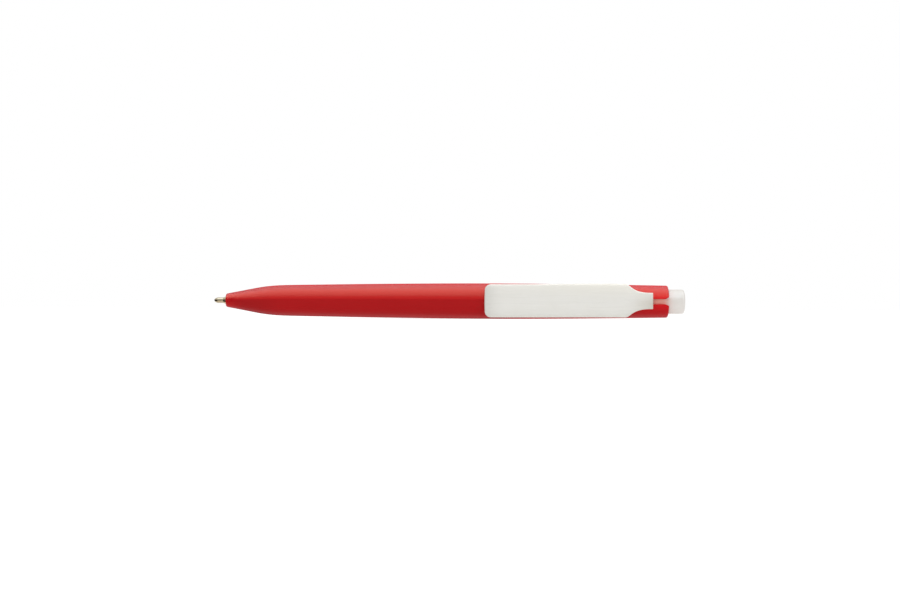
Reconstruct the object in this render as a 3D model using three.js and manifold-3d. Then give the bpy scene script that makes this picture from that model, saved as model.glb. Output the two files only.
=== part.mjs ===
import * as THREE from 'three';
import { mergeVertices } from 'three/addons/utils/BufferGeometryUtils.js';
import Module from 'manifold-3d';

// A click ballpoint pen that lies on its side: point toward -X, push button toward +X,
// clip toward -Y. It is drawn with its point out. Lengths are in millimetres, and a place
// along the pen, a name that ends in At, is counted from the front of the ball.

// Clearances
const slideGap = 0.1; // round what slides or turns in a bore
const restGap = 0.3; // in front of what a moving piece stops against
const fitGap = 0.05; // between pieces that are pressed or poured together

// Travel of the push button from the place where the point is out
const pressTravel = 1.5;
const retractTravel = 5.5;

// Refill
const refillLength = 106.8;
const ballDiameter = 1.0;
const ballGap = 0.04;
const lipAngle = 31; // degrees past the ball's widest ring
const lipWall = 0.06;
const tipConeLength = 0.55;
const tipDiameter = 1.66;
const tipLength = 1.62;
const shoulderLength = 0.9;
const pointDiameter = 2.5;
const inkChannelDiameter = 0.7;
const barbLength = 5;
const tubeWall = 0.5;
const tubeDiameter = 3.1;
const inkLength = 65;
const followerLength = 6;
const earWidth = 0.9;
const earLength = 1.2;

// Return spring
const springWire = 0.35;
const springLength = 21;
const springTurns = 11;
const springRoom = 0.25; // between the coil and the pieces inside and round it
const closedTurnGap = 0.2; // between the wires of the two end turns

// Ratchet behind the refill
const rotorWall = 0.55;
const rotorWeb = 1.2;
const cupDepth = 3.6;
const finLength = 2.4;
const finCount = 4;
const finAngle = 30; // degrees
const ribAngle = 36; // degrees
const ribDepth = 0.6;
const ribSpare = 1.2;
const sleeveWall = 0.6;
const sleeveLead = 1;
const toothCount = 8;
const toothHeight = 0.9;

// Push button
const buttonGap = 0.13;
const buttonWall = 0.92;
const buttonEndWall = 1.2;
const buttonEdgeRadius = 0.55;
const windowLand = 1.5;
const stemBoreDiameter = 2.6;
const buttonProud = 5.1;

// Barrel
const pointReach = 3.4; // how far the point stands out of the nose
const noseLip = 0.53;
const noseEdge = 0.5;
const noseConeLength = 8.9;
const noseConeAngle = 11.2; // degrees
const noseLand = 2.1;
const gripPlace = 19.4; // from the nose
const gripDiameter = 9.15;
const gripSlope = 0.018;
const noseFullness = 0.35; // share of the way that the nose curve keeps its end slopes
const gripFullness = 0.3;
const rearFullness = 0.35;
const bellyPlace = 78.6; // from the nose
const bellyDiameter = 10.5;
const rearSlope = -0.0133;
const rearWall = 1;
const rearEdge = 0.4;
const springSeatPlace = 8.6; // from the nose
const chamberSpare = 1.8;
const sleeveSeat = 0.45;
const slotWidth = 1.6;
const mouthWidth = 2.75;
const mouthLength = 1.1;

// Clip
const clipLength = 50.1;
const clipWidth = 9.89;
const clipThickness = 1.3;
const pocketGap = 0.8;
const clipCorner = 1.25;
const endBow = 0.2;
const padLength = 2.4;
const padThickness = 0.85;
const tipBend = 7;
const rearBend = 18;
const shoulderPlace = 8.6; // from the clip's rear end
const shoulderSpan = 5.7;
const shoulderHandle = 0.4; // share of the span that bends the shoulder's curve
const neckWidth = 4.95;
const neckThickness = 0.8;
const neckOverhang = 1.3;
const slotShown = 4.9;
const webGap = 0.15;
const footLength = 5.3;
const footWidth = 3;
const footThickness = 0.8;
const footRoom = 0.4;

// Fineness of the round faces
const barrelSides = 36;
const refillSides = 24;
const ballSides = 16;
const ballRings = 10;
const wireSteps = 3;
const stepsPerTurn = 8;
const curveSteps = 6;
const edgeSteps = 3;
const mostEdge = 0.9; // share of a wall that its rounded edge may take
const weldLength = 1e-5;

// Radii that follow from the sizes above, from the inside out
const tubeRadius = tubeDiameter / 2;
const tubeBore = tubeRadius - tubeWall;
const pointRadius = pointDiameter / 2;
const noseHole = pointRadius + slideGap;
const noseRadius = noseHole + noseLip;
const guideBore = tubeRadius + 2 * slideGap;
const springRadius = tubeRadius + springRoom + springWire / 2;
const springChamber = springRadius + springWire / 2 + springRoom;
const earReach = springChamber - slideGap;
const cupRadius = tubeRadius + slideGap;
const rotorRadius = cupRadius + rotorWall;
const ribRadius = rotorRadius + 2 * slideGap;
const sleeveBore = ribRadius + ribDepth + slideGap;
const finRadius = sleeveBore - slideGap;
const sleeveRadius = sleeveBore + sleeveWall;
const rearBore = sleeveRadius + fitGap;
const mainBore = rearBore - sleeveSeat;
const buttonRadius = rearBore - buttonGap;
const buttonBore = buttonRadius - buttonWall;
const stemBore = stemBoreDiameter / 2;
const rearRadius = rearBore + rearWall;
const bellyRadius = bellyDiameter / 2;

// Places that follow, from the ball to the push button
const noseAt = pointReach;
const springSeatAt = noseAt + springSeatPlace;
const tubeFrontAt = noseAt + noseLand + pressTravel + restGap;
const barbEndAt = tubeFrontAt + barbLength;
const inkEndAt = barbEndAt + fitGap + inkLength;
const earsAt = springSeatAt + springLength + fitGap;
const chamberEndAt = earsAt + earLength + chamberSpare;
const cupFloorAt = refillLength + restGap;
const rotorFrontAt = cupFloorAt - cupDepth;
const rotorBackAt = cupFloorAt + rotorWeb;
const rotorTipAt = rotorBackAt + toothHeight;
const finFrontAt = rotorBackAt - finLength;
const sleeveFrontAt = finFrontAt - pressTravel - sleeveLead;
const ribFrontAt = rotorBackAt + restGap;
const sleeveBackAt = ribFrontAt + retractTravel + ribSpare;
const crownTipAt = rotorTipAt + restGap;
const buttonFrontAt = sleeveBackAt + pressTravel + restGap;
const windowFrontAt = buttonFrontAt + windowLand;
const footFrontAt = windowFrontAt + retractTravel + restGap;
const footBackAt = footFrontAt + footLength;
const windowBackAt = footBackAt + pressTravel + restGap;
const clipBackAt = footBackAt + neckOverhang;
const clipFrontAt = clipBackAt - clipLength;
const barrelBackAt = clipBackAt + slotShown;
const buttonEndAt = barrelBackAt + buttonProud;

const wasm = await Module();
wasm.setup();

// A closed geometry as a solid that can be joined and cut
function toSolid(geometry) {
  const bare = geometry.clone();
  bare.deleteAttribute('normal');
  bare.deleteAttribute('uv');
  const merged = mergeVertices(bare, weldLength);
  return new wasm.Manifold(new wasm.Mesh({
    numProp: 3,
    vertProperties: merged.attributes.position.array,
    triVerts: Uint32Array.from(merged.index.array),
  }));
}

function toGeometry(solid) {
  const mesh = solid.getMesh();
  const geometry = new THREE.BufferGeometry();
  geometry.setAttribute('position', new THREE.BufferAttribute(mesh.vertProperties, 3));
  geometry.setIndex(new THREE.BufferAttribute(mesh.triVerts, 1));
  geometry.computeVertexNormals();
  return geometry;
}

function joined(first, ...others) {
  return others.reduce((whole, other) => whole.add(toSolid(other)), toSolid(first));
}

function cut(solid, ...cutters) {
  return cutters.reduce((left, cutter) => left.subtract(toSolid(cutter)), solid);
}

// An outline of (radius, place) turned round the pen's axis, which lies along X
function turned(outline, sides) {
  const geometry = new THREE.LatheGeometry(outline, sides, Math.PI / sides);
  return geometry.rotateZ(-Math.PI / 2);
}

function rod(radius, fromAt, toAt, sides) {
  return turned([
    new THREE.Vector2(0, fromAt),
    new THREE.Vector2(radius, fromAt),
    new THREE.Vector2(radius, toAt),
    new THREE.Vector2(0, toAt),
  ], sides);
}

function pipe(inner, outer, fromAt, toAt, sides) {
  return turned([
    new THREE.Vector2(inner, fromAt),
    new THREE.Vector2(outer, fromAt),
    new THREE.Vector2(outer, toAt),
    new THREE.Vector2(inner, toAt),
    new THREE.Vector2(inner, fromAt),
  ], sides);
}

// A box between two places, at a height above the axis on the clip's side
function block(fromAt, toAt, fromHeight, toHeight, width) {
  const box = new THREE.BoxGeometry(toAt - fromAt, toHeight - fromHeight, width);
  return box.translate((fromAt + toAt) / 2, -(fromHeight + toHeight) / 2, 0);
}

// A piece of a ring, seen along the pen, that runs from one place to another
function sector(inner, outer, middle, spread, fromAt, toAt) {
  const half = THREE.MathUtils.degToRad(spread / 2);
  const shape = new THREE.Shape();
  shape.absarc(0, 0, outer, middle - half, middle + half, false);
  shape.absarc(0, 0, inner, middle + half, middle - half, true);
  shape.closePath();
  const solid = new THREE.ExtrudeGeometry(shape, {
    depth: toAt - fromAt,
    bevelEnabled: false,
    curveSegments: edgeSteps,
  });
  return solid.rotateY(Math.PI / 2).translate(fromAt, 0, 0);
}

// Notches that leave a ring of pointed teeth; side is 1 where the teeth point to the rear
function notches(tipAt, side, phase) {
  const halfWidth = rotorRadius * Math.tan(Math.PI / toothCount);
  const wedges = [];
  for (let i = 0; i < toothCount; i += 1) {
    const shape = new THREE.Shape();
    shape.moveTo(0, -side * toothHeight);
    shape.lineTo(2 * halfWidth, side * toothHeight);
    shape.lineTo(-2 * halfWidth, side * toothHeight);
    const wedge = new THREE.ExtrudeGeometry(shape, { depth: 2 * rotorRadius, bevelEnabled: false });
    wedge.rotateZ(-Math.PI / 2).rotateX((i + phase) * 2 * Math.PI / toothCount);
    wedges.push(wedge.translate(tipAt, 0, 0));
  }
  return wedges;
}

// Barrel: the outer line from the nose to the rear end
function barrelOutline() {
  const nose = Math.min(noseEdge, mostEdge * noseLip);
  const rear = Math.min(rearEdge, mostEdge * rearWall);
  const slope = Math.tan(THREE.MathUtils.degToRad(noseConeAngle));
  const cone = new THREE.Vector2(noseRadius + noseConeLength * slope, noseAt + noseConeLength);
  const grip = new THREE.Vector2(gripDiameter / 2, noseAt + gripPlace);
  const belly = new THREE.Vector2(bellyRadius, noseAt + bellyPlace);
  const back = new THREE.Vector2(rearRadius, barrelBackAt - rear);
  const path = new THREE.Path();
  path.moveTo(noseRadius - nose, noseAt);
  path.quadraticCurveTo(noseRadius, noseAt, noseRadius + nose * slope, noseAt + nose);
  path.lineTo(cone.x, cone.y);
  flow(path, cone, slope, grip, gripSlope, noseFullness);
  flow(path, grip, gripSlope, belly, 0, gripFullness);
  flow(path, belly, 0, back, rearSlope, rearFullness);
  path.quadraticCurveTo(rearRadius, barrelBackAt, rearRadius - rear, barrelBackAt);
  return path.getPoints(curveSteps);
}

// A smooth curve between two rings that keeps the slope given at each end
function flow(path, from, fromSlope, to, toSlope, share) {
  const handle = share * (to.y - from.y);
  path.bezierCurveTo(
    from.x + handle * fromSlope, from.y + handle,
    to.x - handle * toSlope, to.y - handle,
    to.x, to.y,
  );
}

function barrelRadiusAt(at) {
  const outline = barrelOutline();
  const next = outline.findIndex((ring) => ring.y >= at);
  const before = outline[next - 1];
  const share = (at - before.y) / (outline[next].y - before.y);
  return THREE.MathUtils.lerp(before.x, outline[next].x, share);
}

function barrelGeometry() {
  const outline = [
    ...barrelOutline(),
    new THREE.Vector2(rearBore, barrelBackAt),
    new THREE.Vector2(rearBore, sleeveFrontAt - fitGap),
    new THREE.Vector2(mainBore, sleeveFrontAt - fitGap),
    new THREE.Vector2(mainBore, chamberEndAt),
    new THREE.Vector2(springChamber, chamberEndAt),
    new THREE.Vector2(springChamber, springSeatAt),
    new THREE.Vector2(guideBore, springSeatAt),
    new THREE.Vector2(guideBore, noseAt + noseLand),
    new THREE.Vector2(noseHole, noseAt + noseLand),
    new THREE.Vector2(noseHole, noseAt),
  ];
  outline.push(outline[0].clone());
  const shell = toSolid(turned(outline, barrelSides));
  const slotFrontAt = footFrontAt - footRoom;
  const slot = block(slotFrontAt, barrelBackAt + mouthLength, 0, 2 * rearRadius, slotWidth);
  return toGeometry(cut(shell, slot, slotMouth()));
}

// The slot widens to a mouth where the clip's web was pushed in
function slotMouth() {
  const shape = new THREE.Shape();
  shape.moveTo(barrelBackAt - mouthLength, -slotWidth / 2);
  shape.lineTo(barrelBackAt, -mouthWidth / 2);
  shape.lineTo(barrelBackAt + mouthLength, -mouthWidth / 2);
  shape.lineTo(barrelBackAt + mouthLength, mouthWidth / 2);
  shape.lineTo(barrelBackAt, mouthWidth / 2);
  shape.lineTo(barrelBackAt - mouthLength, slotWidth / 2);
  const wedge = new THREE.ExtrudeGeometry(shape, { depth: 2 * rearRadius, bevelEnabled: false });
  return wedge.rotateX(Math.PI / 2);
}

// Clip: its side view pulled across the width, trimmed to its outline seen from outside
const clipFace = bellyRadius + pocketGap + clipThickness;
const neckHeight = barrelRadiusAt(footFrontAt) + restGap;
const footTop = Math.sqrt(rearBore ** 2 - (footWidth / 2) ** 2) - footRoom;

function clipSideShape() {
  const padHeight = bellyRadius + restGap;
  const inner = clipFace - clipThickness;
  const neckFrontAt = clipBackAt - shoulderPlace + shoulderSpan / 2;
  const rearBendAt = clipBackAt - rearBend;
  const shape = new THREE.Shape();
  shape.moveTo(clipFrontAt, padHeight);
  shape.lineTo(clipFrontAt + padLength, padHeight);
  shape.quadraticCurveTo(
    clipFrontAt + (padLength + tipBend) / 2, inner,
    clipFrontAt + tipBend, inner,
  );
  shape.lineTo(rearBendAt, inner);
  shape.bezierCurveTo(
    (rearBendAt + neckFrontAt) / 2, inner,
    (rearBendAt + neckFrontAt) / 2, neckHeight,
    neckFrontAt, neckHeight,
  );
  shape.lineTo(clipBackAt, neckHeight);
  shape.lineTo(clipBackAt, neckHeight + neckThickness);
  shape.quadraticCurveTo((clipBackAt + rearBendAt) / 2, clipFace, rearBendAt, clipFace);
  shape.lineTo(clipFrontAt + tipBend, clipFace);
  shape.quadraticCurveTo(
    clipFrontAt + tipBend / 3, clipFace,
    clipFrontAt, padHeight + padThickness,
  );
  return shape;
}

function clipPlanShape() {
  const half = clipWidth / 2;
  const neck = neckWidth / 2;
  const corner = Math.min(clipCorner, half);
  const shoulderAt = clipBackAt - shoulderPlace;
  const neckAt = shoulderAt + shoulderSpan;
  const shape = new THREE.Shape();
  shape.moveTo(clipBackAt, -neck);
  shape.lineTo(clipBackAt, neck);
  shape.lineTo(neckAt, neck);
  shape.bezierCurveTo(
    shoulderAt + shoulderHandle * shoulderSpan, neck,
    shoulderAt + shoulderHandle * shoulderSpan, half,
    shoulderAt, half,
  );
  shape.lineTo(clipFrontAt + endBow + corner, half);
  shape.absarc(clipFrontAt + endBow + corner, half - corner, corner, Math.PI / 2, Math.PI, false);
  shape.quadraticCurveTo(clipFrontAt - endBow, 0, clipFrontAt + endBow, corner - half);
  shape.absarc(clipFrontAt + endBow + corner, corner - half, corner, Math.PI, 1.5 * Math.PI, false);
  shape.lineTo(shoulderAt, -half);
  shape.bezierCurveTo(
    shoulderAt + shoulderHandle * shoulderSpan, -half,
    shoulderAt + shoulderHandle * shoulderSpan, -neck,
    neckAt, -neck,
  );
  return shape;
}

function clipGeometry() {
  const fine = { bevelEnabled: false, curveSegments: curveSteps };
  const side = new THREE.ExtrudeGeometry(clipSideShape(), { ...fine, depth: clipWidth });
  side.translate(0, 0, -clipWidth / 2).rotateX(Math.PI);
  const plan = new THREE.ExtrudeGeometry(clipPlanShape(), { ...fine, depth: 2 * clipFace });
  plan.rotateX(Math.PI / 2);
  const arm = toSolid(side).intersect(toSolid(plan));
  const webWidth = slotWidth - 2 * webGap;
  const webTop = neckHeight + neckThickness / 2;
  const web = block(footFrontAt, footBackAt, footTop - footThickness / 2, webTop, webWidth);
  const foot = block(footFrontAt, footBackAt, footTop - footThickness, footTop, footWidth);
  return toGeometry(arm.add(joined(web, foot)));
}

function sleeveGeometry() {
  const pieces = [pipe(sleeveBore, sleeveRadius, sleeveFrontAt, sleeveBackAt, barrelSides)];
  const root = sleeveBore + sleeveWall / 2;
  for (let i = 0; i < finCount; i += 1) {
    const middle = (i + 0.5) * 2 * Math.PI / finCount;
    pieces.push(sector(ribRadius, root, middle, ribAngle, ribFrontAt, sleeveBackAt));
  }
  return toGeometry(joined(...pieces));
}

function rotorGeometry() {
  const body = turned([
    new THREE.Vector2(0, cupFloorAt),
    new THREE.Vector2(cupRadius, cupFloorAt),
    new THREE.Vector2(cupRadius, rotorFrontAt),
    new THREE.Vector2(rotorRadius, rotorFrontAt),
    new THREE.Vector2(rotorRadius, rotorTipAt),
    new THREE.Vector2(stemBore, rotorTipAt),
    new THREE.Vector2(stemBore, rotorBackAt),
    new THREE.Vector2(0, rotorBackAt),
  ], barrelSides);
  const pieces = [body];
  for (let i = 0; i < finCount; i += 1) {
    const middle = i * 2 * Math.PI / finCount;
    const root = rotorRadius - rotorWall / 2;
    pieces.push(sector(root, finRadius, middle, finAngle, finFrontAt, rotorBackAt));
  }
  return toGeometry(cut(joined(...pieces), ...notches(rotorTipAt, 1, 0)));
}

function buttonGeometry() {
  const edge = Math.min(buttonEdgeRadius, mostEdge * buttonWall);
  const path = new THREE.Path();
  path.moveTo(0, buttonEndAt - buttonEndWall);
  path.lineTo(buttonBore, buttonEndAt - buttonEndWall);
  path.lineTo(buttonBore, buttonFrontAt + windowLand / 2);
  path.lineTo(stemBore, buttonFrontAt + windowLand / 2);
  path.lineTo(stemBore, crownTipAt);
  path.lineTo(rotorRadius, crownTipAt);
  path.lineTo(rotorRadius, buttonFrontAt);
  path.lineTo(buttonRadius, buttonFrontAt);
  path.lineTo(buttonRadius, buttonEndAt - edge);
  path.absarc(buttonRadius - edge, buttonEndAt - edge, edge, 0, Math.PI / 2, false);
  path.lineTo(0, buttonEndAt);
  const body = toSolid(turned(path.getPoints(edgeSteps), barrelSides));
  const windowWidth = footWidth + 2 * footRoom;
  const window = block(windowFrontAt, windowBackAt, 0, 2 * buttonRadius, windowWidth);
  return toGeometry(cut(body, window, ...notches(crownTipAt, -1, 0.5)));
}

// Refill: the tube has two pinched ears for the spring to push on
function tubeGeometry() {
  const tube = pipe(tubeBore, tubeRadius, tubeFrontAt, refillLength, refillSides);
  const core = rod((tubeBore + tubeRadius) / 2, earsAt - earLength, earsAt + 2 * earLength, refillSides);
  const ears = block(earsAt, earsAt + earLength, -earReach, earReach, earWidth);
  return toGeometry(toSolid(tube).add(cut(toSolid(ears), core)));
}

function pointGeometry() {
  const centreAt = ballDiameter / 2;
  const socket = ballDiameter / 2 + ballGap;
  const lip = THREE.MathUtils.degToRad(lipAngle);
  const lipAt = centreAt - socket * Math.sin(lip);
  const channel = inkChannelDiameter / 2;
  const tipConeAt = lipAt + tipConeLength;
  const tipEndAt = tipConeAt + tipLength;
  const barbRadius = tubeBore - fitGap;
  const path = new THREE.Path();
  path.moveTo(socket * Math.cos(lip), lipAt);
  path.lineTo(socket * Math.cos(lip) + lipWall, lipAt);
  path.lineTo(tipDiameter / 2, tipConeAt);
  path.lineTo(tipDiameter / 2, tipEndAt);
  path.lineTo(pointRadius, tipEndAt + shoulderLength);
  path.lineTo(pointRadius, tubeFrontAt - fitGap);
  path.lineTo(barbRadius, tubeFrontAt - fitGap);
  path.lineTo(barbRadius, barbEndAt);
  path.lineTo(channel, barbEndAt);
  const bottom = Math.acos(Math.min(channel / socket, 1));
  path.lineTo(channel, centreAt + socket * Math.sin(bottom));
  path.absarc(0, centreAt, socket, bottom, -lip, true);
  return turned(path.getPoints(edgeSteps), refillSides);
}

class Coil extends THREE.Curve {
  // Even turns between two nearly closed end turns
  getPoint(t, target = new THREE.Vector3()) {
    const turn = t * springTurns;
    const closed = springWire + closedTurnGap;
    const open = (springLength - springWire - 2 * closed) / (springTurns - 2);
    const middle = THREE.MathUtils.clamp(turn - 1, 0, springTurns - 2);
    const rise = (turn - middle) * closed + middle * open;
    const angle = turn * 2 * Math.PI;
    const place = springSeatAt + springWire / 2 + rise;
    return target.set(place, springRadius * Math.cos(angle), springRadius * Math.sin(angle));
  }
}

function springGeometry() {
  const section = new THREE.Shape();
  section.absarc(0, 0, springWire / 2, 0, 2 * Math.PI, false);
  const coil = new THREE.ExtrudeGeometry(section, {
    steps: springTurns * stepsPerTurn,
    curveSegments: wireSteps,
    bevelEnabled: false,
    extrudePath: new Coil(),
  });
  return coil.translate(fitGap, 0, 0);
}

function ballGeometry() {
  const ball = new THREE.SphereGeometry(ballDiameter / 2, ballSides, ballRings);
  return ball.translate(ballDiameter / 2, 0, 0);
}

function inkGeometry() {
  return rod(tubeBore - fitGap, barbEndAt + fitGap, inkEndAt, refillSides);
}

function followerGeometry() {
  const frontAt = inkEndAt + fitGap;
  return rod(tubeBore - fitGap, frontAt, frontAt + followerLength, refillSides);
}

function material(color, roughness, metalness) {
  return new THREE.MeshStandardMaterial({ color, roughness, metalness });
}

const redPlastic = material(0xb02026, 0.35, 0);
const whitePlastic = material(0xe4e2dc, 0.4, 0);
const nylon = material(0xd8d6cc, 0.5, 0);
const steel = material(0xa8a9ab, 0.3, 1);
const nickelSilver = material(0xcdbd94, 0.25, 1);
const carbide = material(0x4b4b4f, 0.2, 1);
const clearPlastic = material(0xdfe3e2, 0.2, 0);
const redInk = material(0x6e0f14, 0.3, 0);
const grease = material(0xd9c98a, 0.3, 0);

const part = new THREE.Group();
part.name = 'writing_pen';
const pen = new THREE.Group();
pen.name = 'pen';
part.add(pen);

function place(name, geometry, look) {
  const mesh = new THREE.Mesh(geometry, look);
  mesh.name = name;
  pen.add(mesh);
}

place('barrel', barrelGeometry(), redPlastic);
place('clip', clipGeometry(), whitePlastic);
place('push_button', buttonGeometry(), whitePlastic);
place('cam_sleeve', sleeveGeometry(), nylon);
place('ratchet_rotor', rotorGeometry(), nylon);
place('return_spring', springGeometry(), steel);
place('refill_tube', tubeGeometry(), clearPlastic);
place('ink_column', inkGeometry(), redInk);
place('ink_follower', followerGeometry(), grease);
place('point_holder', pointGeometry(), nickelSilver);
place('writing_ball', ballGeometry(), carbide);

// The pen lies on the barrel's widest ring, and the origin is under the middle of its box
const lyingRadius = bellyRadius * Math.cos(Math.PI / barrelSides);
pen.position.set(-buttonEndAt / 2, (clipFace - lyingRadius) / 2, lyingRadius);

export default part;
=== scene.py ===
# Click ballpoint pen, lying on its side: point toward -X, push button toward +X,
# clip toward the camera. Pieces are drawn in millimetres with the pen's axis as X,
# counted from the front of the ball, and then put in the frame in metres.
import math
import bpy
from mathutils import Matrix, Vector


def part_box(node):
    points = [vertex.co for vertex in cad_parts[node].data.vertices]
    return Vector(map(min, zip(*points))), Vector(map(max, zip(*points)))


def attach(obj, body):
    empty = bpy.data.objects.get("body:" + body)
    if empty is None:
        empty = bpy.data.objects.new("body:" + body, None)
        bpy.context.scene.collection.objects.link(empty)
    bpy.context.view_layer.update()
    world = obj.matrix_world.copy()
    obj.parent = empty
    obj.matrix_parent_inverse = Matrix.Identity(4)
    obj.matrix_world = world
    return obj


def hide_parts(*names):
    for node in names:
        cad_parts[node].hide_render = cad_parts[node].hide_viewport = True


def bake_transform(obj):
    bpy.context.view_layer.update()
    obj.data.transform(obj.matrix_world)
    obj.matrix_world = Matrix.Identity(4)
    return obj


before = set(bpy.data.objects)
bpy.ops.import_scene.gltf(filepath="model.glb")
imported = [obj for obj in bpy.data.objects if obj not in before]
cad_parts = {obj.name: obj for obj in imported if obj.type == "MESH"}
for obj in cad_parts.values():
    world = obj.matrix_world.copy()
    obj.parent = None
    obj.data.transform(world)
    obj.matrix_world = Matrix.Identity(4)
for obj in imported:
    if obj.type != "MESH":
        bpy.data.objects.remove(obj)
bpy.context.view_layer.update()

from types import SimpleNamespace

import bmesh
import bpy
import numpy as np
from mathutils import Matrix, Vector

mm = 0.001
mergeGap = 0.0005  # points closer than this, in millimetres, become one
ballLow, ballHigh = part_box("writing_ball")
axisY = (ballLow.y + ballHigh.y) / 2
axisZ = (ballLow.z + ballHigh.z) / 2
toFrame = Matrix.Translation((ballLow.x, axisY, axisZ)) @ Matrix.Scale(mm, 4)


# Small helpers
def newObject(name, mesh):
    obj = bpy.data.objects.new(name, mesh)
    bpy.context.scene.collection.objects.link(obj)
    return obj


def fromBmesh(name, bm):
    mesh = bpy.data.meshes.new(name)
    bm.to_mesh(mesh)
    bm.free()
    return newObject(name, mesh)


def settle(obj):
    # what the modifiers make becomes the object's own mesh
    graph = bpy.context.evaluated_depsgraph_get()
    old = obj.data
    made = bpy.data.meshes.new_from_object(obj.evaluated_get(graph), depsgraph=graph)
    obj.modifiers.clear()
    obj.data = made
    made.name = obj.name
    if old.users == 0:
        bpy.data.meshes.remove(old)
    return obj


def combine(body, tool, operation):
    modifier = body.modifiers.new("combine", "BOOLEAN")
    modifier.operation = operation
    modifier.solver = "EXACT"
    modifier.object = tool
    settle(body)
    bpy.data.objects.remove(tool)


def finishPiece(obj, finish, body, node, sharpAngle=38):
    # cleans the mesh, puts it in the frame, gives it its finish, hangs it on its body and hides
    # the CAD part it stands for
    bm = bmesh.new()
    bm.from_mesh(obj.data)
    bmesh.ops.remove_doubles(bm, verts=bm.verts, dist=mergeGap)
    bmesh.ops.dissolve_degenerate(bm, edges=bm.edges, dist=mergeGap)
    bm.normal_update()
    bmesh.ops.recalc_face_normals(bm, faces=bm.faces)
    bm.to_mesh(obj.data)
    bm.free()
    obj.data.transform(toFrame)
    obj.data.polygons.foreach_set("use_smooth", [True] * len(obj.data.polygons))
    obj.data.set_sharp_from_angle(angle=math.radians(sharpAngle))
    obj.data.materials.clear()
    obj.data.materials.append(finishes[finish])
    if body:
        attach(obj, body)
    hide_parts(node)
    return obj


def bezier(p0, p1, p2, p3, steps):
    # points of one curve, without its first
    found = []
    for i in range(1, steps + 1):
        t = i / steps
        a, b, c, d = (1 - t) ** 3, 3 * t * (1 - t) ** 2, 3 * t * t * (1 - t), t ** 3
        found.append(tuple(a * p0[k] + b * p1[k] + c * p2[k] + d * p3[k] for k in (0, 1)))
    return found


def quadratic(p0, p1, p2, steps):
    first = tuple(p0[k] + 2 / 3 * (p1[k] - p0[k]) for k in (0, 1))
    second = tuple(p2[k] + 2 / 3 * (p1[k] - p2[k]) for k in (0, 1))
    return bezier(p0, first, second, p2, steps)


def flow(start, startSlope, end, endSlope, share, steps=28):
    # from one ring to the next, keeping the slope given at each end; rings are (place, radius)
    handle = share * (end[0] - start[0])
    return bezier(
        start,
        (start[0] + handle, start[1] + handle * startSlope),
        (end[0] - handle, end[1] - handle * endSlope),
        end,
        steps,
    )


def fillet(before, corner, after, radius, steps=5):
    # a rounded corner of an outline, from the line before it to the line after it
    c = Vector(corner)
    a = (Vector(before) - c).normalized()
    b = (Vector(after) - c).normalized()
    reach = radius / math.tan(a.angle(b) / 2)
    first, last = c + a * reach, c + b * reach
    return [tuple(first)] + quadratic(first, c, last, steps)


def rounded(points):
    # an outline from corners (place, radius, edge, steps); those without an edge stay sharp
    line = []
    for i, (at, radius, *edge) in enumerate(points):
        if edge:
            line += fillet(points[i - 1][:2], (at, radius), points[i + 1][:2], *edge)
        else:
            line.append((at, radius))
    return line


def quarter(centre, radius, start, steps):
    # points of a quarter circle, clockwise from an angle
    angles = [start - math.pi / 2 * i / steps for i in range(steps + 1)]
    return [(centre[0] + radius * math.cos(a), centre[1] + radius * math.sin(a)) for a in angles]


def lineAt(line, at, k=1):
    # value k of a row of points at a place
    return float(np.interp(at, [p[0] for p in line], [p[k] for p in line]))


def bridge(bm, rings, capTurn=1):
    # faces from each ring of corners to the next, and one across each end
    for a, b in zip(rings, rings[1:]):
        for k in range(len(a)):
            n = (k + 1) % len(a)
            bm.faces.new((a[k], a[n], b[n], b[k]))
    bm.faces.new(rings[0][::-capTurn])
    bm.faces.new(rings[-1][::capTurn])


def solid(name, bm):
    # an object whose faces all point outwards
    bm.normal_update()
    bmesh.ops.recalc_face_normals(bm, faces=bm.faces)
    return fromBmesh(name, bm)


# Node helpers
def setInputs(tree, node, values):
    # links a node's inputs or sets their values
    for key, value in values.items():
        socket = node.inputs[key]
        if isinstance(value, bpy.types.NodeSocket):
            tree.links.new(value, socket)
        else:
            socket.default_value = (*value, 1) if socket.type == "RGBA" else value


def addNode(tree, kind, values=None, **settings):
    node = tree.nodes.new(kind)
    for key, value in settings.items():
        setattr(node, key, value)
    setInputs(tree, node, values or {})
    return node


def made(tree, kind, values=None, **settings):
    return addNode(tree, kind, values, **settings).outputs[0]


def calc(tree, operation, *values):
    return made(tree, "ShaderNodeMath", dict(enumerate(values)), operation=operation)


def newTree(name, sockets):
    # a Geometry Nodes tree with a geometry in, a geometry out and the named inputs
    tree = bpy.data.node_groups.new(name, "GeometryNodeTree")
    tree.interface.new_socket("Geometry", in_out="INPUT", socket_type="NodeSocketGeometry")
    for label, kind in sockets:
        tree.interface.new_socket(label, in_out="INPUT", socket_type="NodeSocket" + kind)
    tree.interface.new_socket("Geometry", in_out="OUTPUT", socket_type="NodeSocketGeometry")
    return tree, tree.nodes.new("NodeGroupInput").outputs


def onRing(tree, at, radius, angle):
    # a place from its distance along the pen's axis, its radius and its angle
    return made(tree, "ShaderNodeCombineXYZ", {
        "X": at,
        "Y": calc(tree, "MULTIPLY", radius, calc(tree, "COSINE", angle)),
        "Z": calc(tree, "MULTIPLY", radius, calc(tree, "SINE", angle)),
    })


def closeTree(tree, geometry, material):
    real = made(tree, "GeometryNodeRealizeInstances", {"Geometry": geometry})
    painted = {"Geometry": real, "Material": material}
    addNode(tree, "NodeGroupOutput", {"Geometry": made(tree, "GeometryNodeSetMaterial", painted)})


def runTree(obj, tree, values):
    modifier = obj.modifiers.new(tree.name, "NODES")
    modifier.node_group = tree
    for item in tree.interface.items_tree:
        if item.in_out == "INPUT" and item.name in values:
            modifier[item.identifier] = values[item.name]
    return settle(obj)


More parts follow.
